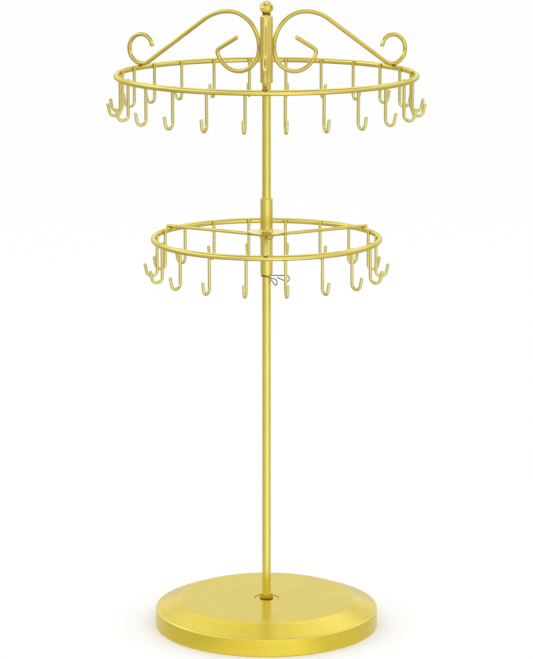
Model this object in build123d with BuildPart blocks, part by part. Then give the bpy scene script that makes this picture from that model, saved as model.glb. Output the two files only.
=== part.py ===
"""Two-tier necklace stand: a weighted base, a slim pole and two hook rings that turn on it.

Millimetres. +Z is up, the front is -Y, and the origin is the centre of the foot pad's underside.
"""
import os
from math import asin, atan2, cos, degrees, hypot, radians, sin, sqrt

from build123d import *

os.makedirs("parts", exist_ok=True)

# Fits and welds
weld_gap = 0.03
weld_sink = 0.7
thread_clearance = 0.05
hole_clearance = 0.1
turning_clearance = 0.1
turning_play = 0.1
cut_overrun = 1.0

# Base shell
base_radius = 77.5
rim_lift = 0.1
rim_height = 12.5
bevel_width = 16.8
bevel_rise = 6.4
shell_wall = 1.2
rim_round = 0.3
bevel_round = 8.0
dimple_radius = 8.8
dimple_slope_width = 0.5
dimple_depth = 0.7
dimple_round = 0.2

# Base weight and foot pad
pad_thickness = 2.0
pad_clearance = 0.5
weight_thickness = 6.0
weight_clearance = 0.4
weight_hub_radius = 12.0
weight_edge_chamfer = 1.0

# Pole
pole_radius = 3.0
pole_flange_width = 1.6
pole_flange_thickness = 0.9
pole_flange_round = 0.15
pole_flange_root_round = 0.8
foot_thread_step = 0.5
foot_thread_length = 12.0
joint_thread_step = 1.0
joint_thread_length = 12.0
thread_relief = 1.0

# Sleeves that turn on the pole
sleeve_wall = 1.15
sleeve_edge_round = 1.0
sleeve_edge_chamfer = 0.4

# Lower tier
lower_tier_azimuth = 269.66
lower_ring_height = 273.6
lower_ring_radius = 77.1
lower_sleeve_drop = 25.1
lower_sleeve_length = 53.2
lower_hook_count = 18
spoke_wire_radius = 1.2
spoke_overhang = 3.0
hub_disc_radius = 12.8
hub_disc_thickness = 1.2
hub_disc_round = 0.3

# Upper tier
upper_tier_azimuth = 269.51
upper_ring_height = 385.3
upper_ring_radius = 101.3
upper_sleeve_drop = 5.1
upper_sleeve_length = 46.1
upper_hook_count = 24
sleeve_cap_thickness = 2.0
sleeve_cap_round = 1.5

# Ring and hook wire
ring_wire_radius = 1.9
hook_wire_radius = 1.1
hook_rise = 1.6
hook_drop = 25.8
hook_bend_radius = 3.7
hook_lean = 12.0
hook_tip_height = 8.5
hook_tip_round = 0.4

# Scroll wire of the upper tier
scroll_wire_radius = 1.5
scroll_touch_rise = 18.5
scroll_shoulder_radius = 23.4
scroll_crest_radius = 35.5
scroll_loop_radius = 16.85
scroll_loop_sweep = 161.0
scroll_hook_radius = 3.0
scroll_hook_sweep = 79.0
scroll_lead_length = 16.5
curl_radius = 10.15
curl_inset = 1.1
curl_sweep = 215.0
curl_tip_radius = 8.6
curl_tip_sweep = 86.0
scroll_end_round = 0.3

# Finial
finial_ball_radius = 4.6
finial_neck_radius = 2.8
finial_neck_height = 1.1
finial_shank_step = 1.0
finial_thread_step = 1.5
finial_thread_length = 9.0

# Retaining clip of spring wire
clip_wire_radius = 0.38
clip_pole_gap = 0.25
clip_tail_reach = 15.6
clip_tail_drop = 5.3
clip_tail_radius = 1.9
clip_turn_radius = 0.6
clip_wrap_radius = 2.9
clip_eye_reach = 7.2
clip_eye_drop = 8.0
clip_eye_radii = (1.5, 2.0, 0.9)
clip_tail_end_shares = (0.47, 0.25)
clip_eye_shares = ((0.26, 0.08), (1.0, 0.3), (0.97, 1.0), (0.43, 0.27))

# Heights and radii that follow
plateau_height = rim_height + bevel_rise
plateau_radius = base_radius - bevel_width
dimple_floor_radius = dimple_radius - dimple_slope_width
dimple_floor = plateau_height - dimple_depth
shell_underside = dimple_floor - shell_wall
sleeve_bore_radius = pole_radius + turning_clearance
sleeve_radius = sleeve_bore_radius + sleeve_wall
lower_sleeve_bottom = lower_ring_height - lower_sleeve_drop
upper_sleeve_bottom = upper_ring_height - upper_sleeve_drop
upper_sleeve_top = upper_sleeve_bottom + upper_sleeve_length
pole_joint_height = lower_sleeve_bottom + lower_sleeve_length / 2
pole_top = upper_sleeve_top - sleeve_cap_thickness - turning_play
foot_thread_radius = pole_radius - foot_thread_step
joint_thread_radius = pole_radius - joint_thread_step
finial_shank_radius = pole_radius - finial_shank_step
finial_thread_radius = pole_radius - finial_thread_step
clip_height = lower_sleeve_bottom - turning_play - clip_wire_radius
spoke_height = lower_ring_height + ring_wire_radius + spoke_wire_radius - weld_sink

# Turns of the spokes and scrolls from the front of their tier, seen from above
brace_turns = {"front": 0.0, "right": 120.0, "left": 240.0}


def save(piece, name):
    """Labels a finished piece and writes it as its own file."""
    piece.part.label = name
    export_step(piece.part, f"parts/{name}.step")


def turned(solid, azimuth):
    """A copy of a solid, turned about the pole's axis."""
    with BuildPart() as copy:
        with PolarLocations(radius=0, count=1, start_angle=azimuth):
            add(solid)
    return copy


# Base shell: a pressed sheet cover, open underneath, with a dimple for the pole's foot
with BuildPart() as base_shell:
    with BuildSketch(Plane.XZ):
        with BuildLine():
            FilletPolyline(
                (base_radius, rim_lift),
                (base_radius, rim_height),
                (plateau_radius, plateau_height),
                (dimple_radius, plateau_height),
                (dimple_floor_radius, dimple_floor),
                (foot_thread_radius + hole_clearance, dimple_floor),
                radius=(rim_round + shell_wall, bevel_round, dimple_round, dimple_round),
            )
            offset(amount=shell_wall, side=Side.LEFT)
        make_face()
    revolve(axis=Axis.Z)
save(base_shell, "base_shell")

# Base weight: an iron disc with a tapped hub that reaches the shell's underside
with BuildPart() as base_weight:
    with BuildSketch(Plane.XY.offset(pad_thickness)):
        Circle(base_radius - shell_wall - weight_clearance)
    extrude(amount=weight_thickness)
    chamfer(base_weight.edges().group_by(Axis.Z)[-1], weight_edge_chamfer)
    with BuildSketch(Plane.XY.offset(pad_thickness)):
        Circle(weight_hub_radius)
    extrude(amount=shell_underside - weld_gap - pad_thickness)
    with Locations((0, 0, shell_underside)):
        Hole(foot_thread_radius + thread_clearance)
save(base_weight, "base_weight")

# Foot pad: a soft sheet set into the rim, which stands a little proud of it
with BuildPart() as base_pad:
    with BuildSketch():
        Circle(base_radius - shell_wall - pad_clearance)
    extrude(amount=pad_thickness)
save(base_pad, "base_pad")

# Lower pole: threaded foot under a flange, clip hole, and a tapped top end
with BuildPart() as lower_pole:
    with BuildSketch(Plane.XY.offset(dimple_floor)):
        Circle(pole_radius)
    extrude(amount=pole_joint_height - dimple_floor)
    with BuildSketch(Plane.XY.offset(dimple_floor)):
        Circle(pole_radius + pole_flange_width)
    extrude(amount=pole_flange_thickness)
    flange_rims = lower_pole.edges().filter_by(GeomType.CIRCLE).sort_by(SortBy.RADIUS)[-2:]
    fillet(flange_rims.sort_by(Axis.Z)[-1], pole_flange_round)
    flange_top = dimple_floor + pole_flange_thickness
    pole_circles = lower_pole.edges().filter_by(GeomType.CIRCLE)
    top_circles = pole_circles.filter_by_position(Axis.Z, flange_top, flange_top)
    fillet(top_circles.sort_by(SortBy.RADIUS)[0], pole_flange_root_round)
    with BuildSketch(Plane.XY.offset(dimple_floor)):
        Circle(foot_thread_radius)
    extrude(amount=-foot_thread_length)
    with BuildSketch(Plane.XY.offset(pole_joint_height)):
        Circle(joint_thread_radius + thread_clearance)
    extrude(amount=-(joint_thread_length + thread_relief), mode=Mode.SUBTRACT)
    with BuildSketch(Plane.YZ):
        with Locations((0, clip_height)):
            Circle(clip_wire_radius + hole_clearance)
    extrude(amount=pole_radius + cut_overrun, both=True, mode=Mode.SUBTRACT)
save(lower_pole, "lower_pole")

# Upper pole: a threaded lower end in the lower pole, and a tapped top for the finial
with BuildPart() as upper_pole:
    with BuildSketch(Plane.XY.offset(pole_joint_height)):
        Circle(pole_radius)
    extrude(amount=pole_top - pole_joint_height)
    with BuildSketch(Plane.XY.offset(pole_joint_height)):
        Circle(joint_thread_radius)
    extrude(amount=-joint_thread_length)
    with BuildSketch(Plane.XY.offset(pole_top)):
        Circle(finial_thread_radius + thread_clearance)
    extrude(amount=-(finial_thread_length + thread_relief), mode=Mode.SUBTRACT)
save(upper_pole, "upper_pole")

# Retaining clip: a folded tail on the right, a leg through the pole, a turn round its front and an eye
clip_wrap = pole_radius + clip_pole_gap + clip_wire_radius
with BuildPart() as retaining_clip:
    tail_end_reach = clip_tail_end_shares[0] * clip_tail_reach
    tail_end_drop = clip_tail_end_shares[1] * clip_tail_drop
    tail = [
        (tail_end_reach, 0, clip_height - tail_end_drop),
        (clip_tail_reach, 0, clip_height - clip_tail_drop),
        (clip_tail_reach, 0, clip_height),
    ]
    turn = [(-clip_wrap, 0, clip_height), (-clip_wrap, -clip_wrap, clip_height)]
    eye = [
        (reach_share * clip_eye_reach, -clip_wrap, clip_height - drop_share * clip_eye_drop)
        for reach_share, drop_share in clip_eye_shares
    ]
    bend_radii = (clip_tail_radius, clip_tail_radius, clip_turn_radius, clip_wrap_radius, *clip_eye_radii)
    with BuildLine() as clip_path:
        FilletPolyline(*tail, *turn, *eye, radius=bend_radii)
    clip_wire = clip_path.wire()
    with BuildSketch(Plane(origin=clip_wire @ 0, z_dir=clip_wire % 0)):
        Circle(clip_wire_radius)
    sweep(path=clip_wire)
save(retaining_clip, "retaining_clip")

# Finial: a ball on a neck, whose shank passes the sleeve's cap and screws into the pole
neck_bottom = upper_sleeve_top + turning_play
neck_top = neck_bottom + finial_neck_height
ball_height = neck_top + sqrt(finial_ball_radius**2 - finial_neck_radius**2)
neck_angle = degrees(asin((neck_top - ball_height) / finial_ball_radius))
with BuildPart() as finial:
    with BuildSketch(Plane.XZ):
        with BuildLine():
            ball = CenterArc((0, ball_height), finial_ball_radius, neck_angle, 90 - neck_angle)
            Polyline(
                ball @ 1,
                (0, pole_top - finial_thread_length),
                (finial_thread_radius, pole_top - finial_thread_length),
                (finial_thread_radius, pole_top),
                (finial_shank_radius, pole_top),
                (finial_shank_radius, neck_bottom),
                (finial_neck_radius, neck_bottom),
                ball @ 0,
            )
        make_face()
    revolve(axis=Axis.Z)
save(finial, "finial")

# Lower sleeve: a plain tube that rests on the clip
with BuildPart() as lower_sleeve:
    with BuildSketch(Plane.XY.offset(lower_sleeve_bottom)):
        Circle(sleeve_radius)
    extrude(amount=lower_sleeve_length)
    fillet(lower_sleeve.edges().group_by(Axis.Z)[0], sleeve_edge_round)
    chamfer(lower_sleeve.edges().group_by(Axis.Z)[-1], sleeve_edge_chamfer)
    with Locations((0, 0, lower_sleeve_bottom + lower_sleeve_length)):
        Hole(sleeve_bore_radius)
save(lower_sleeve, "lower_sleeve")

# Upper sleeve: a tube with a rounded cap, which hangs on the pole's top end
with BuildPart() as upper_sleeve:
    with BuildSketch(Plane.XY.offset(upper_sleeve_bottom)):
        Circle(sleeve_radius)
    extrude(amount=upper_sleeve_length)
    chamfer(upper_sleeve.edges().group_by(Axis.Z)[0], sleeve_edge_chamfer)
    fillet(upper_sleeve.edges().group_by(Axis.Z)[-1], sleeve_cap_round)
    with BuildSketch(Plane.XY.offset(upper_sleeve_bottom)):
        Circle(sleeve_bore_radius)
    extrude(amount=upper_sleeve_length - sleeve_cap_thickness, mode=Mode.SUBTRACT)
    with Locations((0, 0, upper_sleeve_top)):
        Hole(finial_shank_radius + hole_clearance)
save(upper_sleeve, "upper_sleeve")

# Rings of round wire
with BuildPart(Plane.XY.offset(lower_ring_height)) as lower_ring:
    Torus(lower_ring_radius, ring_wire_radius)
save(lower_ring, "lower_ring")

with BuildPart(Plane.XY.offset(upper_ring_height)) as upper_ring:
    Torus(upper_ring_radius, ring_wire_radius)
save(upper_ring, "upper_ring")

# Hub disc: a washer round the lower sleeve, on top of the spokes
with BuildPart() as lower_hub_disc:
    with BuildSketch(Plane.XY.offset(spoke_height + spoke_wire_radius + weld_gap)):
        Circle(hub_disc_radius)
        Circle(sleeve_radius + weld_gap, mode=Mode.SUBTRACT)
    extrude(amount=hub_disc_thickness)
    disc_rims = lower_hub_disc.edges().filter_by(GeomType.CIRCLE).sort_by(SortBy.RADIUS)[-2:]
    fillet(disc_rims, hub_disc_round)
save(lower_hub_disc, "lower_hub_disc")

# Spokes: straight wires from the lower sleeve over the ring, saddled where they are welded to it
with BuildPart() as spoke:
    spoke_start = sleeve_radius + weld_gap
    with BuildSketch(Plane.YZ.offset(spoke_start)):
        with Locations((0, spoke_height)):
            Circle(spoke_wire_radius)
    extrude(amount=lower_ring_radius + spoke_overhang - spoke_start)
    with Locations((0, 0, lower_ring_height)):
        Torus(lower_ring_radius, ring_wire_radius + weld_gap, mode=Mode.SUBTRACT)
for side, turn_angle in brace_turns.items():
    save(turned(spoke.part, lower_tier_azimuth + turn_angle), f"lower_spoke_{side}")

# Scrolls: one bent wire each, from a loop by the sleeve, over a crest, to a curl on the ring
touch_point = (sleeve_radius + weld_gap + scroll_wire_radius, upper_ring_height + scroll_touch_rise)
crest_center_x = touch_point[0] + scroll_shoulder_radius
crest_center_z = touch_point[1] + scroll_shoulder_radius - scroll_crest_radius
curl_center_x = upper_ring_radius - curl_inset
curl_center_z = upper_ring_height + ring_wire_radius + scroll_wire_radius - weld_sink + curl_radius
center_distance = hypot(curl_center_x - crest_center_x, curl_center_z - crest_center_z)
radius_sum = scroll_crest_radius + curl_radius
center_line_angle = atan2(curl_center_z - crest_center_z, curl_center_x - crest_center_x)
slope_angle = degrees(asin(radius_sum / center_distance) - center_line_angle)
slope_length = sqrt(center_distance**2 - radius_sum**2)
with BuildPart() as scroll:
    with BuildLine(Plane.XZ) as scroll_path:
        loop = JernArc(touch_point, (0, -1), scroll_loop_radius, scroll_loop_sweep)
        inner_hook = JernArc(loop @ 1, loop % 1, scroll_hook_radius, scroll_hook_sweep)
        lead = Line(inner_hook @ 1, inner_hook @ 1 + (inner_hook % 1) * scroll_lead_length)
        shoulder = JernArc(touch_point, (0, 1), scroll_shoulder_radius, -90)
        crest = JernArc(shoulder @ 1, shoulder % 1, scroll_crest_radius, -slope_angle)
        slope = Line(crest @ 1, crest @ 1 + (crest % 1) * slope_length)
        curl = JernArc(slope @ 1, slope % 1, curl_radius, curl_sweep)
        curl_tip = JernArc(curl @ 1, curl % 1, curl_tip_radius, curl_tip_sweep)
    scroll_wire = scroll_path.wire()
    with BuildSketch(Plane(origin=scroll_wire @ 0, z_dir=scroll_wire % 0)):
        Circle(scroll_wire_radius)
    sweep(path=scroll_wire)
    cut_ends = scroll.faces().filter_by(GeomType.PLANE)
    fillet(cut_ends.edges(), scroll_end_round)
    with Locations((0, 0, upper_ring_height)):
        Torus(upper_ring_radius, ring_wire_radius + weld_gap, mode=Mode.SUBTRACT)
for side, turn_angle in brace_turns.items():
    save(turned(scroll.part, upper_tier_azimuth + turn_angle), f"upper_scroll_{side}")


def make_hook(ring_radius, ring_height):
    """One hook in the XZ plane: its shank is welded inside the ring, and its mouth opens outwards and up."""
    shank_x = ring_radius - (ring_wire_radius + hook_wire_radius - weld_sink)
    bottom = ring_height - hook_drop
    bend_height = bottom + hook_bend_radius
    tip_start = bend_height - hook_bend_radius * sin(radians(hook_lean))
    tip_length = (bottom + hook_tip_height - tip_start) / cos(radians(hook_lean))
    with BuildPart() as hook:
        with BuildLine(Plane.XZ) as hook_path:
            shank = Line((shank_x, ring_height + hook_rise), (shank_x, bend_height))
            bend = JernArc(shank @ 1, shank % 1, hook_bend_radius, 180 - hook_lean)
            Line(bend @ 1, bend @ 1 + (bend % 1) * tip_length)
        hook_wire = hook_path.wire()
        with BuildSketch(Plane(origin=hook_wire @ 0, z_dir=hook_wire % 0)):
            Circle(hook_wire_radius)
        sweep(path=hook_wire)
        tip_face = hook.faces().filter_by(GeomType.PLANE).sort_by(Axis.Z)[0]
        fillet(tip_face.edges(), hook_tip_round)
        with Locations((0, 0, ring_height)):
            Torus(ring_radius, ring_wire_radius + weld_gap, mode=Mode.SUBTRACT)
    return hook.part


# Hooks: evenly spaced round each ring, with the tier's front in the middle of a space
hook_tiers = {
    "lower_hook": (lower_ring_radius, lower_ring_height, lower_hook_count, lower_tier_azimuth),
    "upper_hook": (upper_ring_radius, upper_ring_height, upper_hook_count, upper_tier_azimuth),
}
for name, (ring_radius, ring_height, count, tier_azimuth) in hook_tiers.items():
    hook_solid = make_hook(ring_radius, ring_height)
    pitch = 360 / count
    for index in range(count):
        azimuth = tier_azimuth + pitch * (index + 1 / 2)
        save(turned(hook_solid, azimuth), f"{name}_{index + 1:02d}")
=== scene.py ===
"""Looks of the two-tier necklace stand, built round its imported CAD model. Metres, +Z up, front -Y."""
import math

import bmesh
import bpy
from mathutils import Matrix, Vector


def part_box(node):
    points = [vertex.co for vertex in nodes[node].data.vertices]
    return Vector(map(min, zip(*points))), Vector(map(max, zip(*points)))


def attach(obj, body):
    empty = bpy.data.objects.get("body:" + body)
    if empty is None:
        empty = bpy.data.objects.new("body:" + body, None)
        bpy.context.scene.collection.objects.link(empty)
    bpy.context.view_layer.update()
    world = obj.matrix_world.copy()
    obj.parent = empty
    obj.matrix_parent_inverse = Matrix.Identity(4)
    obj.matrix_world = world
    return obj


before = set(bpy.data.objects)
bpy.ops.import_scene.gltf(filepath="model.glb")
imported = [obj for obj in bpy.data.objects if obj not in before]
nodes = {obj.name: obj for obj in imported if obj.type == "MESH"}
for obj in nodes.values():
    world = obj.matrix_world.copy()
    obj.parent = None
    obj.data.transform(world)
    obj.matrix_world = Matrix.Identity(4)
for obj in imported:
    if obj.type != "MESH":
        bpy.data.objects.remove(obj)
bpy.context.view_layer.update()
scene = bpy.context.scene
scene.view_settings.view_transform = "Standard"

# Camera fitted to the photograph's rings, base circles and pole
CAMERA_DISTANCE = 1.9042
CAMERA_HEIGHT = 0.5981
CAMERA_PITCH = 11.513
CAMERA_LENS = 154.4
CAMERA_SENSOR = 36.0
CAMERA_NEAR = 0.05
CAMERA_FAR = 200.0

# Sizes of the solids that their boxes don't give
RING_WIRE = 0.0019
HOOK_WIRE = 0.0011
SPOKE_WIRE = 0.0012
SPOKE_OVERHANG = 0.0030
WELD_SINK = 0.0007
SCROLL_TOUCH_RISE = 0.0185
CURL_INSET = 0.0011
DIMPLE_DEPTH = 0.0007
FLANGE_THICKNESS = 0.0009
NECK_PLAY = 0.0001
NECK_HEIGHT = 0.0011
NECK_RADIUS = 0.0028
LOWER_FRONT = 269.66
UPPER_FRONT = 269.51
BRACE_TURNS = (0.0, 120.0, 240.0)


def reach(name):
    """Radius of a round node about the pole's axis."""
    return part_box(name)[1].x


def top(name):
    """Height of a node's top."""
    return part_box(name)[1].z


def ring_size(name):
    """Radius and height of the middle of a ring's wire."""
    low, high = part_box(name)
    return high.x - RING_WIRE, (low.z + high.z) / 2


def hook_count(tier):
    return sum(name.startswith(f"{tier}_hook_") for name in nodes)


# Sizes read from the solids
POLE_RADIUS = reach("upper_pole")
SLEEVE_RADIUS = reach("lower_sleeve")
FLANGE_RADIUS = reach("lower_pole")
BASE_RADIUS = reach("base_shell")
FOOT_FLOOR = top("base_shell") - DIMPLE_DEPTH
FLANGE_TOP = FOOT_FLOOR + FLANGE_THICKNESS
NECK_BOTTOM = top("upper_sleeve") + NECK_PLAY

# Places of painted shade, of a painted highlight and of the clip's gilt
# Painted shade: a darker ring in the dimple's crease round the pole's foot
CREASE_RADIUS = 0.0081
CREASE_WIDTH = 0.0005
# Painted highlight: a paler band along the rounded edge between the base's bevel and rim
RIM_EDGE_INSET = 0.0003
RIM_EDGE_RADIUS = BASE_RADIUS - RIM_EDGE_INSET
RIM_EDGE_HEIGHT = 0.0124
RIM_HIGHLIGHT_SPAN = (0.0002, 0.0007)
# Painted shade: the darkest tones on the lowest part of the pole's foot
FLANGE_SHADE = 0.00035
FLANGE_FADE = 0.0002
GILT_CORE = 0.0008
GILT_REACH = 0.0020
GILT_SPAN = (POLE_RADIUS + GILT_CORE, POLE_RADIUS + GILT_REACH)
# Painted shade: darker, browner tones on faces that look down
UNDERSIDE_SHADE_SPAN = (-0.7, -0.32)

# Patterns: noise scales per metre, and shares of the patterns in a tone
STROKE_TURN = 1.6
STROKE_FINENESS = 2600.0
STROKE_SHARE = 0.72
BASE_CLOUD_SCALE = 26.0
CLOUD_SCALE = 45.0
CLOUD_SHARE = 0.92
HOLLOW_SCALE = 230.0
HOLLOW_SPAN = (0.38, 0.45)
HOLLOW_TARNISH = 0.75
DENT_SCALE = 210.0
PATCH_SCALE = 800.0
FLAKE_SCALE = 900.0
GRIT_SCALE = 420.0
FOAM_CELL_SCALE = 900.0
NOISE_SPAN = (0.3, 0.7)
TONE_STOPS = (0.25, 0.50, 0.75)
RISE = (0.0, 1.0)
FALL = (1.0, 0.0)

# Gold tones, linear: deep, middle and pale
TURNED_TONES = ((0.730, 0.545, 0.050), (0.800, 0.618, 0.068), (0.850, 0.682, 0.092))
PLATEAU_TONES = ((0.690, 0.538, 0.029), (0.715, 0.563, 0.035), (0.735, 0.588, 0.043))
TUBE_TONES = ((0.805, 0.665, 0.140), (0.850, 0.712, 0.160), (0.890, 0.755, 0.190))
WIRE_TONES = ((0.760, 0.625, 0.145), (0.805, 0.665, 0.165), (0.845, 0.705, 0.190))
SCROLL_TONES = ((0.705, 0.565, 0.140), (0.745, 0.602, 0.162), (0.785, 0.640, 0.185))
HOOK_TONES = ((0.738, 0.648, 0.212), (0.778, 0.686, 0.245), (0.818, 0.724, 0.275))

# Other colours, linear
# Painted highlight colour of the rim's rounded edge
PAINTED_HIGHLIGHT_GOLD = (0.930, 0.830, 0.240)
# Bronze tones: tarnish in dents and the weld beads' tones, and painted shade in grooves, creases, on
# undersides, at the pole's foot and on the hub disc's edge
BRONZE_DEEP = (0.170, 0.105, 0.004)
BRONZE = (0.300, 0.200, 0.010)
WELD_AND_SHADE_GOLD = (0.360, 0.262, 0.020)
FLANGE_SHADE_GOLD = (0.560, 0.380, 0.026)
RIM_GOLD = (0.600, 0.490, 0.070)
CLIP_BRONZE = (0.340, 0.260, 0.070)
WHITE = (1.0, 1.0, 1.0)
EDGE_TINT = (0.96, 0.90, 0.55)
BRONZE_EDGE_TINT = (0.85, 0.60, 0.12)
STEEL = (0.230, 0.227, 0.222)
STEEL_DARK = (0.090, 0.088, 0.086)
IRON = (0.030, 0.030, 0.032)
FOAM = (0.012, 0.012, 0.013)
FOAM_PALE = (0.030, 0.030, 0.031)
BLACK = (0.0, 0.0, 0.0)
FLOOR_WHITE = (0.985, 0.985, 0.985)

# Sockets of a colour Mix node
MIX_FACTOR = 0
MIX_FIRST = 6
MIX_SECOND = 7
MIX_RESULT = 2


class Look:
    """One material in the making, with short ways to add and link its nodes."""

    def __init__(self, name):
        self.material = bpy.data.materials.new(name)
        self.material.use_nodes = True
        self.tree = self.material.node_tree
        self.shader = self.tree.nodes["Principled BSDF"]

    def add(self, kind, inputs=None, **settings):
        node = self.tree.nodes.new(kind)
        for key, value in settings.items():
            setattr(node, key, value)
        for key, value in (inputs or {}).items():
            if isinstance(value, bpy.types.NodeSocket):
                self.tree.links.new(value, node.inputs[key])
            else:
                node.inputs[key].default_value = value
        return node

    def math(self, operation, first, second=0.0):
        return self.add("ShaderNodeMath", {0: first, 1: second}, operation=operation).outputs[0]

    def place(self):
        return self.add("ShaderNodeTexCoord").outputs["Object"]

    def split(self, vector):
        return self.add("ShaderNodeSeparateXYZ", {"Vector": vector}).outputs

    def join(self, **parts):
        return self.add("ShaderNodeCombineXYZ", parts).outputs[0]

    def polar(self):
        """Radius and height of a point, and its direction from the pole's axis as a unit vector."""
        parts = self.split(self.place())
        flat = self.join(X=parts["X"], Y=parts["Y"])
        radius = self.add("ShaderNodeVectorMath", {0: flat}, operation="LENGTH").outputs["Value"]
        direction = self.add("ShaderNodeVectorMath", {0: flat}, operation="NORMALIZE").outputs["Vector"]
        return radius, parts["Z"], direction

    def ramp(self, factor, *stops):
        node = self.add("ShaderNodeValToRGB", {"Fac": factor})
        elements = node.color_ramp.elements
        while len(elements) < len(stops):
            elements.new(0.5)
        for element, (position, color) in zip(elements, stops):
            element.position = position
            element.color = (*color, 1.0)
        return node.outputs["Color"]

    def spread(self, factor, span, result):
        """Maps a factor from the span's two ends to the result's two ends."""
        node = self.add("ShaderNodeMapRange", {"Value": factor, "From Min": span[0], "From Max": span[1],
                                               "To Min": result[0], "To Max": result[1]})
        return node.outputs["Result"]

    def blend(self, factor, first, second):
        node = self.add("ShaderNodeMix", data_type="RGBA")
        for index, value in ((MIX_FACTOR, factor), (MIX_FIRST, first), (MIX_SECOND, second)):
            self.tree.links.new(value, node.inputs[index])
        return node.outputs[MIX_RESULT]

    def mixed(self, first, second, first_share):
        """Two patterns added up, the first with its share and the second with the rest."""
        weighed = self.math("MULTIPLY", first, first_share)
        return self.math("ADD", weighed, self.math("MULTIPLY", second, 1.0 - first_share))

    def noise(self, vector, scale, detail=2.0, roughness=0.5):
        node = self.add("ShaderNodeTexNoise", {"Vector": vector, "Scale": scale, "Detail": detail,
                                               "Roughness": roughness})
        return node.outputs["Fac"]

    def link(self, output, socket):
        self.tree.links.new(output, self.shader.inputs[socket])

    def fix(self, socket, value):
        """Sets a value that is the same all over the surface."""
        self.shader.inputs[socket].default_value = value

    def bump(self, height, strength, distance):
        node = self.add("ShaderNodeBump", {"Height": height, "Strength": strength, "Distance": distance})
        self.link(node.outputs["Normal"], "Normal")


def turned_gold():
    """Satin gold plating over circular brushing: long fine strokes round the axis, and a painted highlight
    along the rim's edge.
    """
    look = Look("turned_gold")
    radius, height, direction = look.polar()
    across = look.math("SUBTRACT", radius, height)
    turn = look.add("ShaderNodeVectorMath", {0: direction, "Scale": STROKE_TURN}, operation="SCALE")
    parts = look.split(turn.outputs[0])
    stroke_place = look.join(X=parts["X"], Y=parts["Y"], Z=look.math("MULTIPLY", across, STROKE_FINENESS))
    strokes = look.noise(stroke_place, 1.0, detail=4.0, roughness=0.62)
    cloud = look.noise(look.place(), BASE_CLOUD_SCALE, detail=3.0)
    deep, middle, pale = TURNED_TONES
    tone = look.mixed(strokes, cloud, STROKE_SHARE)
    color = look.ramp(tone, (0.30, deep), (0.50, middle), (0.72, pale))
    # Painted highlight: a paler band along the rounded edge between bevel and rim
    beside = look.math("SUBTRACT", radius, RIM_EDGE_RADIUS)
    above = look.math("SUBTRACT", height, RIM_EDGE_HEIGHT)
    squares = look.math("ADD", look.math("MULTIPLY", beside, beside), look.math("MULTIPLY", above, above))
    rim_highlight_mask = look.spread(look.math("SQRT", squares), RIM_HIGHLIGHT_SPAN, FALL)
    painted_highlight = look.ramp(strokes, (0.30, pale), (0.55, PAINTED_HIGHLIGHT_GOLD))
    look.link(look.blend(rim_highlight_mask, color, painted_highlight), "Base Color")
    look.link(look.spread(strokes, NOISE_SPAN, (0.24, 0.36)), "Roughness")
    look.bump(strokes, strength=0.18, distance=0.00004)
    look.fix("Metallic", 1.0)
    look.fix("Anisotropic", 0.7)
    look.fix("Anisotropic Rotation", 0.25)
    tangent = look.add("ShaderNodeTangent", direction_type="RADIAL", axis="Z")
    look.link(tangent.outputs["Tangent"], "Tangent")
    return look.material


def thin_plating_and_shade(look, tone):
    """Brown tones, for tarnish in dents and for painted shade in a crease and on undersides."""
    return look.ramp(tone, (0.3, BRONZE), (0.7, WELD_AND_SHADE_GOLD))


def plated_gold(name, tones, grain_scale, roughness, dents=0.0, crease=0.0, underside=0.0, edge_tint=WHITE):
    """Satin gold plating: faint clouding and fine pitting, with tarnished dents, painted shade as a darker
    ring in a crease round the axis, and painted shade that makes the underside browner."""
    look = Look(name)
    place = look.place()
    cloud = look.noise(place, CLOUD_SCALE)
    grain = look.noise(place, grain_scale, detail=3.0, roughness=0.6)
    tone = look.mixed(cloud, grain, CLOUD_SHARE)
    color = look.ramp(tone, *zip(TONE_STOPS, tones))
    # Painted shade: a darker ring in the crease round the axis
    if crease:
        away = look.math("ABSOLUTE", look.math("SUBTRACT", look.polar()[0], crease))
        crease_shade = look.spread(away, (CREASE_WIDTH / 2, CREASE_WIDTH), FALL)
        color = look.blend(crease_shade, color, thin_plating_and_shade(look, tone))
    # Painted shade: darker, browner tones on faces that look down
    if underside:
        normal = look.add("ShaderNodeNewGeometry").outputs["Normal"]
        under_shade = look.spread(look.split(normal)["Z"], UNDERSIDE_SHADE_SPAN, (underside, 0.0))
        color = look.blend(under_shade, color, thin_plating_and_shade(look, tone))
    if dents:
        hollow = look.spread(look.noise(place, HOLLOW_SCALE), HOLLOW_SPAN, (HOLLOW_TARNISH, 0.0))
        color = look.blend(hollow, color, thin_plating_and_shade(look, tone))
        look.bump(look.noise(place, DENT_SCALE, detail=1.0), strength=1.0, distance=dents)
    look.link(color, "Base Color")
    look.link(look.spread(grain, NOISE_SPAN, roughness), "Roughness")
    look.fix("Metallic", 1.0)
    look.fix("Specular Tint", (*edge_tint, 1.0))
    return look.material


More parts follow.
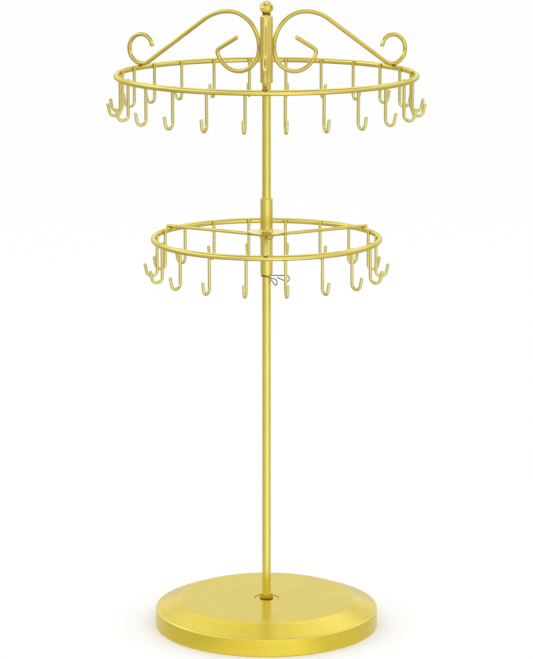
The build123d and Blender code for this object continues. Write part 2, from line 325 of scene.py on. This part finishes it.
def bronze_shade(name, deep, pale, shade_below=0.0):
    """Dark bronze tones with patchy tarnish, as painted shade in grooves, at the pole's foot and on the
    disc's edge, and on weld beads, darker still below a height.
    """
    look = Look(name)
    patches = look.noise(look.place(), PATCH_SCALE, detail=3.0, roughness=0.6)
    color = look.ramp(patches, (0.35, deep), (0.65, pale))
    # Painted shade: below the height the darkest tones stay, above it lighter ones take over
    if shade_below:
        unshaded = look.ramp(patches, (0.35, WELD_AND_SHADE_GOLD), (0.65, FLANGE_SHADE_GOLD))
        risen = look.spread(look.polar()[1], (shade_below, shade_below + FLANGE_FADE), RISE)
        color = look.blend(risen, color, unshaded)
    look.link(color, "Base Color")
    look.link(look.spread(patches, NOISE_SPAN, (0.35, 0.5)), "Roughness")
    look.fix("Metallic", 1.0)
    look.fix("Specular Tint", (*BRONZE_EDGE_TINT, 1.0))
    return look.material


def drawn_steel():
    """Dark spring wire with faint scale, and gilded a little where it bears on the pole."""
    look = Look("drawn_steel")
    flakes = look.noise(look.place(), FLAKE_SCALE, detail=3.0, roughness=0.6)
    color = look.ramp(flakes, (0.34, STEEL_DARK), (0.62, STEEL))
    gilt = look.ramp(flakes, (0.34, BRONZE), (0.62, CLIP_BRONZE))
    look.link(look.blend(look.spread(look.polar()[0], GILT_SPAN, FALL), color, gilt), "Base Color")
    look.link(look.spread(flakes, NOISE_SPAN, (0.3, 0.5)), "Roughness")
    look.bump(flakes, strength=0.15, distance=0.00003)
    look.fix("Metallic", 1.0)
    return look.material


def cast_iron():
    """Rough dark casting inside the base."""
    look = Look("cast_iron")
    grit = look.noise(look.place(), GRIT_SCALE, detail=4.0, roughness=0.65)
    look.link(look.ramp(grit, (0.3, IRON), (0.75, STEEL_DARK)), "Base Color")
    look.link(look.spread(grit, NOISE_SPAN, (0.55, 0.8)), "Roughness")
    look.bump(grit, strength=0.5, distance=0.0003)
    look.fix("Metallic", 0.6)
    return look.material


def foam_pad():
    """Matte black foam sheet with open cells."""
    look = Look("foam_pad")
    place = look.place()
    bubbles = look.add("ShaderNodeTexVoronoi", {"Vector": place, "Scale": FOAM_CELL_SCALE})
    cells = bubbles.outputs["Distance"]
    cloud = look.noise(place, CLOUD_SCALE, detail=3.0)
    look.link(look.ramp(look.math("MULTIPLY", cells, cloud), (0.05, FOAM), (0.45, FOAM_PALE)), "Base Color")
    look.link(look.spread(cells, (0.0, 0.8), (0.8, 0.95)), "Roughness")
    look.bump(cells, strength=0.6, distance=0.0003)
    return look.material


# Materials of the stand
turned = turned_gold()
plateau = plated_gold("plated_plateau", PLATEAU_TONES, grain_scale=500.0, roughness=(0.20, 0.23),
                      crease=CREASE_RADIUS)
wire = plated_gold("plated_wire", WIRE_TONES, grain_scale=700.0, roughness=(0.07, 0.10),
                   underside=0.65, edge_tint=EDGE_TINT)
scroll = plated_gold("plated_scroll", SCROLL_TONES, grain_scale=700.0, roughness=(0.07, 0.10),
                     underside=0.65, edge_tint=EDGE_TINT)
hook = plated_gold("plated_hook", HOOK_TONES, grain_scale=700.0, roughness=(0.12, 0.17),
                   underside=0.4, edge_tint=EDGE_TINT)
tube = plated_gold("plated_tube", TUBE_TONES, grain_scale=420.0, roughness=(0.16, 0.21))
ball = plated_gold("plated_ball", TUBE_TONES, grain_scale=300.0, roughness=(0.05, 0.09), dents=0.003)
hub_plating = plated_gold("plated_hub_weld", SCROLL_TONES, grain_scale=420.0, roughness=(0.16, 0.24),
                          dents=0.0003)
# Painted shade in the finial's neck, and the darkest weld beads, which stand in for shade at wire ends
bronze = bronze_shade("bronze_shade", BRONZE_DEEP, BRONZE)
# Painted shade round the pole's foot, darkest at the bottom
foot_shade = bronze_shade("foot_shade", BRONZE_DEEP, BRONZE, shade_below=FOOT_FLOOR + FLANGE_SHADE)
# Weld beads, whose dark tone also paints the shade at the joints
weld = bronze_shade("weld_bronze", BRONZE, WELD_AND_SHADE_GOLD)
# Painted shade on the top of the pole's foot collar
flange = bronze_shade("flange_gold", WELD_AND_SHADE_GOLD, FLANGE_SHADE_GOLD)
# Painted shade on the hub disc's edge, and the paler weld beads
edge_shade_and_pale_weld = bronze_shade("edge_shade_and_pale_weld_gold", WELD_AND_SHADE_GOLD, RIM_GOLD)
steel = drawn_steel()
iron = cast_iron()
foam = foam_pad()

OWN_MATERIALS = {
    "base_shell": turned,
    "base_weight": iron,
    "base_pad": foam,
    "lower_pole": tube,
    "upper_pole": tube,
    "lower_sleeve": tube,
    "upper_sleeve": tube,
    "lower_hub_disc": tube,
    "finial": ball,
    "retaining_clip": steel,
}
for name, node in nodes.items():
    kind = hook if "_hook_" in name else scroll if "_scroll_" in name else wire
    node.data.materials.clear()
    node.data.materials.append(OWN_MATERIALS.get(name, kind))

# Faces that get a second material, by the upward part of their normal and by margins round their edges
PLATEAU_NORMAL = 0.995
PLATEAU_REACH = 0.0575
DISC_EDGE_NORMAL = 0.9
SIDE_NORMAL = 0.6
FLANGE_MARGIN = 0.0010
POLE_MARGIN = 0.00002
NECK_INNER_MARGIN = 0.0005
NECK_OUTER_MARGIN = 0.00005


def retone(name, material, chosen):
    """Gives a material to the faces of a node that still have its first one and are chosen."""
    data = nodes[name].data
    data.materials.append(material)
    for face in data.polygons:
        if face.material_index == 0 and chosen(face, math.hypot(face.center.x, face.center.y)):
            face.material_index = len(data.materials) - 1


def on_plateau(face, radius):
    return face.normal.z > PLATEAU_NORMAL or radius < PLATEAU_REACH


def on_disc_edge(face, radius):
    return abs(face.normal.z) < DISC_EDGE_NORMAL and radius > 2 * SLEEVE_RADIUS


def on_flange_edge(face, radius):
    level = FOOT_FLOOR < face.center.z < FLANGE_TOP
    beside = POLE_RADIUS + FLANGE_MARGIN < radius < FLANGE_RADIUS + FLANGE_MARGIN
    return level and beside and abs(face.normal.z) < SIDE_NORMAL


def on_flange(face, radius):
    level = FOOT_FLOOR < face.center.z < FLANGE_TOP + FLANGE_MARGIN
    beside = POLE_RADIUS + POLE_MARGIN < radius < FLANGE_RADIUS + FLANGE_MARGIN
    return level and beside


def on_neck(face, radius):
    level = NECK_BOTTOM < face.center.z < NECK_BOTTOM + NECK_HEIGHT
    beside = NECK_RADIUS - NECK_INNER_MARGIN < radius < NECK_RADIUS + NECK_OUTER_MARGIN
    return level and beside and abs(face.normal.z) < SIDE_NORMAL


# The base's top is smooth, and the disc's edge, the pole's foot and the finial's neck get darker tones, as
# painted shade
retone("base_shell", plateau, on_plateau)
retone("lower_hub_disc", edge_shade_and_pale_weld, on_disc_edge)
retone("lower_pole", foot_shade, on_flange_edge)
retone("finial", bronze, on_neck)
retone("lower_pole", flange, on_flange)

# Tones of the weld beads, as material places
# The plain tone's darkness also paints shade at the joints, and the second tone, the darkest, is painted
# shade at wire ends
PLAIN_WELD, SHADE_SLOT_WELD, PALE_WELD = range(3)

# Weld beads: half length along the seam, half width and half thickness, and their places by the wires
HOOK_BEAD = (0.00135, 0.00055, 0.00055)
HOOK_BEAD_SIDE = 0.0010
SPOKE_BEAD = (0.0013, 0.0008, 0.0005)
SPOKE_BEAD_SINK = 0.0001
TIP_BEAD = (0.0013, 0.0006, 0.0003)
TIP_BEAD_DROP = 0.0007
ROOT_BEAD = (0.0019, 0.0017, 0.0007)
ROOT_BEAD_GAP = 0.00015
TOUCH_BEAD = (0.0030, 0.0007, 0.0006)
TOUCH_BEAD_GAP = 0.0005
TOUCH_BEAD_SIDE = 0.0010
SEAT_BEAD = (0.0015, 0.0009, 0.0005)
SEAT_BEAD_SIDE = 0.0014
CURL_BEAD = (0.0013, 0.0007, 0.0004)
CURL_BEAD_REACH = 0.0009
CURL_BEAD_RISE = 0.0016
HANDS = (-1.0, 1.0)
UP = Vector((0, 0, 1))


def bead(mesh, centre, outward, along, size, tone=PLAIN_WELD):
    """Adds one small weld bead, longest along the seam and flattest outwards, in one of the weld tones."""
    across = outward.cross(along).normalized()
    made = bmesh.ops.create_icosphere(mesh, subdivisions=2, radius=1.0)
    turn = Matrix((along * size[0], across * size[1], outward * size[2])).transposed().to_4x4()
    turn.translation = centre
    bmesh.ops.transform(mesh, matrix=turn, verts=made["verts"])
    for face in {face for vert in made["verts"] for face in vert.link_faces}:
        face.material_index = tone


def weld_piece(mesh, name, body, plain=weld):
    """Makes a piece of the welds in a mesh, riding on a body, with its plain weld in a given material."""
    data = bpy.data.meshes.new(name)
    mesh.to_mesh(data)
    mesh.free()
    for face in data.polygons:
        face.use_smooth = True
    for material in (plain, bronze, edge_shade_and_pale_weld):
        data.materials.append(material)
    piece = bpy.data.objects.new(name, data)
    scene.collection.objects.link(piece)
    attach(piece, body)


def directions(azimuth):
    """Outward and sideways unit vectors at an azimuth in degrees."""
    turn = math.radians(azimuth)
    return Vector((math.cos(turn), math.sin(turn), 0.0)), Vector((-math.sin(turn), math.cos(turn), 0.0))


def hook_welds(mesh, count, ring_radius, ring_height, front):
    """Two beads at each hook, in the grooves between its shank and the ring."""
    shank_radius = ring_radius - (RING_WIRE + HOOK_WIRE - WELD_SINK)
    for index in range(count):
        outward, side = directions(front + 360.0 / count * (index + 0.5))
        for hand in HANDS:
            centre = outward * (shank_radius + HOOK_WIRE / 2) + side * hand * HOOK_BEAD_SIDE
            bead(mesh, centre + UP * ring_height, side * hand, UP, HOOK_BEAD)


def spoke_welds(mesh, ring_radius, ring_height, front):
    """Beads where each spoke lies on the ring, at its tip, and round its root at the sleeve."""
    seat = ring_height + RING_WIRE
    spoke_height = seat + SPOKE_WIRE - WELD_SINK
    for turn in BRACE_TURNS:
        outward, side = directions(front + turn)
        for hand in HANDS:
            centre = outward * ring_radius + side * hand * SPOKE_WIRE + UP * (seat - SPOKE_BEAD_SINK)
            bead(mesh, centre, UP, outward, SPOKE_BEAD)
        # Painted shade: a dark bead at the spoke's tip stands in for the shade between its end and the ring
        tip = outward * (ring_radius + SPOKE_OVERHANG) + UP * (spoke_height - TIP_BEAD_DROP)
        bead(mesh, tip, outward, side, TIP_BEAD, SHADE_SLOT_WELD)
        root = outward * (SLEEVE_RADIUS + ROOT_BEAD_GAP) + UP * spoke_height
        bead(mesh, root, outward, side, ROOT_BEAD, PALE_WELD)


def scroll_welds(mesh, ring_radius, ring_height, front):
    """Beads where each scroll touches the sleeve, and beside and in front of its curl on the ring."""
    touch_height = ring_height + SCROLL_TOUCH_RISE
    for turn in BRACE_TURNS:
        outward, side = directions(front + turn)
        for hand in HANDS:
            touch = outward * (SLEEVE_RADIUS + TOUCH_BEAD_GAP) + side * hand * TOUCH_BEAD_SIDE
            bead(mesh, touch + UP * touch_height, side * hand, UP, TOUCH_BEAD, PALE_WELD)
            seat = outward * (ring_radius - CURL_INSET / 2) + side * hand * SEAT_BEAD_SIDE
            bead(mesh, seat + UP * (ring_height + RING_WIRE), UP, outward, SEAT_BEAD)
        # Painted shade: a dark bead in front of the curl stands in for the shade where it meets the ring
        curl = outward * (ring_radius + CURL_BEAD_REACH) + UP * (ring_height + CURL_BEAD_RISE)
        bead(mesh, curl, (outward + UP).normalized(), side, CURL_BEAD, SHADE_SLOT_WELD)


for tier, front, brace_welds in (("lower", LOWER_FRONT, spoke_welds), ("upper", UPPER_FRONT, scroll_welds)):
    ring_radius, ring_height = ring_size(f"{tier}_ring")
    welds = bmesh.new()
    hook_welds(welds, hook_count(tier), ring_radius, ring_height, front)
    weld_piece(welds, f"{tier}_hook_welds", f"{tier}_tier")
    welds = bmesh.new()
    brace_welds(welds, ring_radius, ring_height, front)
    weld_piece(welds, f"{tier}_brace_welds", f"{tier}_tier")

# Welds between the hub disc and the sleeve, above and below it, turned from outlines of reach and rise
HUB_WELD_BELOW = (
    (0.0, -0.0040), (0.0002, -0.0034), (0.0006, -0.0026), (0.0011, -0.0018), (0.0016, -0.0010),
    (0.0021, 0.0),
)
HUB_WELD_ABOVE = ((0.0010, 0.0), (0.0006, 0.0003), (0.0004, 0.0008), (0.0002, 0.0014), (0.0, 0.0018))
HUB_STEPS = 48
HUB_RIPPLE = 0.05
HUB_RIPPLES = 7


def turned_weld(mesh, outline, level):
    """A fillet round the sleeve, slightly rippled, with its seat on the disc at the level."""
    rings = []
    for step in range(HUB_STEPS):
        azimuth = 2 * math.pi * step / HUB_STEPS
        ripple = 1.0 + HUB_RIPPLE * math.sin(HUB_RIPPLES * azimuth)
        ring = []
        for outward, rise in outline:
            radius = SLEEVE_RADIUS + outward * ripple
            corner = (radius * math.cos(azimuth), radius * math.sin(azimuth), level + rise)
            ring.append(mesh.verts.new(corner))
        rings.append(ring)
    for first, second in zip(rings, rings[1:] + rings[:1]):
        for index in range(len(outline) - 1):
            mesh.faces.new((first[index], second[index], second[index + 1], first[index + 1]))


hub_low, hub_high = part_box("lower_hub_disc")
welds = bmesh.new()
turned_weld(welds, HUB_WELD_BELOW, hub_low.z)
turned_weld(welds, HUB_WELD_ABOVE, hub_high.z)
weld_piece(welds, "lower_hub_weld", "lower_tier", plain=hub_plating)

# Floor, pale and matte, which takes the stand's shadow
FLOOR_HALF = 30.0
FLOOR_CORNERS = ((-1, -1), (1, -1), (1, 1), (-1, 1))


def pale_floor():
    look = Look("pale_floor")
    look.fix("Base Color", (*FLOOR_WHITE, 1.0))
    look.fix("Roughness", 0.9)
    look.fix("Specular IOR Level", 0.0)
    return look.material


floor_mesh = bpy.data.meshes.new("floor")
floor_mesh.from_pydata([(x * FLOOR_HALF, y * FLOOR_HALF, 0) for x, y in FLOOR_CORNERS], [], [(0, 1, 2, 3)])
floor_mesh.materials.append(pale_floor())
floor = bpy.data.objects.new("floor", floor_mesh)
scene.collection.objects.link(floor)

# World: plain white
world = bpy.data.worlds.new("studio")
scene.world = world
world.use_nodes = True
background = world.node_tree.nodes["Background"]
background.inputs["Color"].default_value = (*WHITE, 1.0)
background.inputs["Strength"].default_value = 1.0

# Key light: one soft lamp in front, which doesn't show in reflections
KEY_PLACE = Vector((0.6, -1.7, 1.2))
KEY_TARGET = Vector((0, 0, 0.22))
KEY_SIZE = (1.0, 1.2)
KEY_POWER = 4.0
key_data = bpy.data.lights.new("key", "AREA")
key_data.shape = "RECTANGLE"
key_data.size, key_data.size_y = KEY_SIZE
key_data.energy = KEY_POWER
key = bpy.data.objects.new("key", key_data)
scene.collection.objects.link(key)
key.visible_camera = False
key.visible_glossy = False
key.location = KEY_PLACE
key.rotation_mode = "QUATERNION"
key.rotation_quaternion = (KEY_TARGET - KEY_PLACE).to_track_quat("-Z", "Y")

# Glowing cards round the stand, seen only in reflections, whose tones are painted reflections that draw the
# edges of the metal
CARD_STEPS = 96
CARD_LIFT = 0.0004
GROUND_GAP = 0.0010
GROUND_INNER = BASE_RADIUS + GROUND_GAP
GROUND_OUTER = 14.0
ROOM_RADIUS = 6.0
ROOM_HEIGHT = 12.0
CEILING_HOLE = 0.02

# Ground tones by direction in degrees from the front, each a grey or a colour
NEAR_GROUND = (
    (-172, (0.86, 0.86, 1.05)), (-150, (0.86, 0.90, 1.0)), (-105, 0.80), (-80, 0.74), (-50, 0.70),
    (-40, 0.72), (-20, 1.0), (0, 1.05), (20, 1.15), (34, 0.85), (50, 0.77), (75, 0.76), (105, 0.82),
    (122, 0.95), (140, 0.94), (158, 0.66), (172, (0.86, 0.86, 1.05)),
)
INNER_GROUND = (
    (-165, (0.76, 0.80, 0.92)), (-115, 0.60), (-86, 0.54), (-54, 0.68), (-26, 0.80), (2, 1.08), (14, 1.26),
    (32, 1.24), (54, 0.94), (86, 0.67), (125, 0.64), (165, (0.76, 0.80, 0.92)),
)
OUTER_GROUND = (
    (-165, 0.72), (-115, 0.52), (-86, 0.48), (-54, 0.56), (-26, 0.72), (2, 1.08), (14, 1.26), (32, 1.20),
    (54, 0.80), (86, 0.63), (125, 0.62), (165, 0.72),
)
FAR_GROUND = (
    (-162, 0.42), (-108, (0.46, 0.44, 0.48)), (-50.4, (0.52, 0.48, 0.52)), (-18, (0.58, 0.51, 0.54)),
    (18, (0.62, 0.55, 0.56)), (64.8, (0.80, 0.76, 0.74)), (115.2, (0.62, 0.60, 0.58)), (162, 0.42),
)
INNER_FROM = (0.115, 0.16)
OUTER_FROM = (0.7, 1.6)
FAR_FROM = (2.9, 3.5)

# Wall tones by direction in degrees from the front
LOW_FRONT = (
    (-90, 0.76), (-50, (0.74, 0.80, 0.66)), (-24, (0.67, 0.74, 0.59)), (-10, (0.87, 0.96, 0.77)),
    (8, (1.02, 1.13, 0.90)), (22, (0.88, 0.97, 0.78)), (40, (0.85, 0.93, 0.77)), (70, 0.80), (100, 0.86),
)
MIDDLE_WALL = (
    (-140, 1.07), (-112, 1.45), (-60, 1.45), (-28, 0.90), (0, 0.85), (35, 0.76), (75, 0.74), (120, 1.05),
    (150, 1.20),
)
HIGH_WALL = ((-160, 1.15), (-130, 0.80), (-95, 0.58), (95, 0.58), (130, 0.80), (160, 1.15))
FRONT_MASK = ((-120, 0.0), (-75, 1.0), (75, 1.0), (120, 0.0))
BACK_MASK = ((-148, 1.0), (-128, 0.0), (128, 0.0), (148, 1.0))
MIDDLE_FROM = (2.2, 3.0)
HIGH_FROM = (4.8, 6.6)

# Wall tones by share of the wall's height: low at the sides, a strip in front, and the two back halves
PALE_SKY = (1.04, 1.04, 1.06)
LOW_SIDES = ((0.045, (0.42, 0.42, 0.42)), (0.085, WHITE))
FRONT_STRIP = ((0.185, WHITE), (0.220, (1.6, 1.68, 1.85)), (0.275, (1.7, 1.80, 2.0)), (0.31, WHITE))
STRIP_SPAN = (1.0, 1.6)
BACK_LEFT = (
    (0.028, (0.62, 0.65, 0.68)), (0.085, PALE_SKY), (0.160, PALE_SKY), (0.207, (0.84, 0.87, 0.82)),
    (0.317, (1.02, 1.06, 1.28)), (0.45, (1.15, 1.21, 1.60)), (0.60, (1.06, 1.11, 1.24)),
    (0.756, (1.10, 1.17, 1.24)), (0.825, (1.23, 1.32, 1.12)),
)
BACK_RIGHT = (
    (0.028, (0.62, 0.66, 0.72)), (0.085, PALE_SKY), (0.160, PALE_SKY), (0.207, (0.79, 0.80, 0.71)),
    (0.317, (0.98, 1.02, 1.18)), (0.45, (1.40, 1.46, 2.25)), (0.60, (1.33, 1.36, 1.75)),
    (0.756, (1.22, 1.23, 1.39)), (0.825, (1.23, 1.32, 1.12)),
)
BACK_HALF = 1.2

# Ceiling tones by share of the room's depth: dim in front, mauve above the stand and white at the back
CEILING = (
    (0.36, (0.58, 0.57, 0.54)), (0.55, (0.82, 0.70, 1.08)), (0.80, (0.82, 0.70, 1.08)),
    (0.94, (1.05, 1.05, 1.05)),
)


def front_turn(look):
    """Direction of a point from the pole's axis: 0.5 in front, 0.25 on the left, 0.75 on the right."""
    parts = look.split(look.place())
    angle = look.math("ARCTAN2", parts["X"], look.math("MULTIPLY", parts["Y"], -1.0))
    return look.spread(angle, (-math.pi, math.pi), RISE)


def turned_stops(stops):
    """Ramp stops from directions in degrees, 0 in front, each with a grey tone or a colour."""
    return [((angle / 180.0 + 1.0) / 2.0, tone if isinstance(tone, tuple) else (tone, tone, tone))
            for angle, tone in stops]


def glow(look, color):
    """Ends a card's material, which only gives off its tones."""
    look.fix("Base Color", (*BLACK, 1.0))
    look.fix("Specular IOR Level", 0.0)
    look.fix("Emission Strength", 1.0)
    look.link(color, "Emission Color")
    return look.material


def ground_tones():
    """Tones of the ground: close to the base, within reach of the tiers, further out and far away."""
    look = Look("ground_tones")
    turn = front_turn(look)
    radius = look.polar()[0]
    tones = look.ramp(turn, *turned_stops(NEAR_GROUND))
    for stops, span in ((INNER_GROUND, INNER_FROM), (OUTER_GROUND, OUTER_FROM), (FAR_GROUND, FAR_FROM)):
        tones = look.blend(look.spread(radius, span, RISE), tones, look.ramp(turn, *turned_stops(stops)))
    return glow(look, tones)


def room_tones():
    """Tones of the walls: three heights by direction, the strip in front, and the back by height."""
    look = Look("room_tones")
    turn = front_turn(look)
    place = look.split(look.place())
    level = look.spread(place["Z"], (0.0, ROOM_HEIGHT), RISE)
    facing = look.ramp(turn, *turned_stops(FRONT_MASK))
    walls = look.blend(facing, look.ramp(level, *LOW_SIDES), look.ramp(turn, *turned_stops(LOW_FRONT)))
    for stops, span in ((MIDDLE_WALL, MIDDLE_FROM), (HIGH_WALL, HIGH_FROM)):
        risen = look.spread(place["Z"], span, RISE)
        walls = look.blend(risen, walls, look.ramp(turn, *turned_stops(stops)))
    strip = look.ramp(level, *FRONT_STRIP)
    lit = look.math("MULTIPLY", facing, look.spread(strip, STRIP_SPAN, RISE))
    walls = look.blend(lit, walls, strip)
    rightward = look.spread(place["X"], (-BACK_HALF, BACK_HALF), RISE)
    back = look.blend(rightward, look.ramp(level, *BACK_LEFT), look.ramp(level, *BACK_RIGHT))
    return glow(look, look.blend(look.ramp(turn, *turned_stops(BACK_MASK)), walls, back))


def ceiling_tones():
    look = Look("ceiling_tones")
    depth = look.spread(look.split(look.place())["Y"], (-ROOM_RADIUS, ROOM_RADIUS), RISE)
    return glow(look, look.ramp(depth, *CEILING))


def card(name, first, second, material):
    """A closed band between two circles, each a radius and a height, seen only in reflections."""
    turns = [2 * math.pi * step / CARD_STEPS for step in range(CARD_STEPS)]
    corners = [(radius * math.cos(turn), radius * math.sin(turn), height)
               for turn in turns for radius, height in (first, second)]
    count = len(corners)
    faces = [(start, start + 1, (start + 3) % count, (start + 2) % count) for start in range(0, count, 2)]
    data = bpy.data.meshes.new(name)
    data.from_pydata(corners, [], faces)
    data.materials.append(material)
    made = bpy.data.objects.new(name, data)
    scene.collection.objects.link(made)
    made.visible_camera = False
    made.visible_diffuse = False
    made.visible_transmission = False
    made.visible_shadow = False


card("ground_card", (GROUND_INNER, CARD_LIFT), (GROUND_OUTER, CARD_LIFT), ground_tones())
card("room_card", (ROOM_RADIUS, 0.0), (ROOM_RADIUS, ROOM_HEIGHT), room_tones())
card("ceiling_card", (ROOM_RADIUS, ROOM_HEIGHT), (CEILING_HOLE, ROOM_HEIGHT), ceiling_tones())

camera_data = bpy.data.cameras.new("camera")
camera_data.lens = CAMERA_LENS
camera_data.sensor_width = CAMERA_SENSOR
camera_data.sensor_fit = "AUTO"
camera_data.clip_start = CAMERA_NEAR
camera_data.clip_end = CAMERA_FAR
camera = bpy.data.objects.new("camera", camera_data)
scene.collection.objects.link(camera)
camera.location = (0.0, -CAMERA_DISTANCE, CAMERA_HEIGHT)
camera.rotation_euler = (math.radians(90.0 - CAMERA_PITCH), 0.0, 0.0)
scene.camera = camera
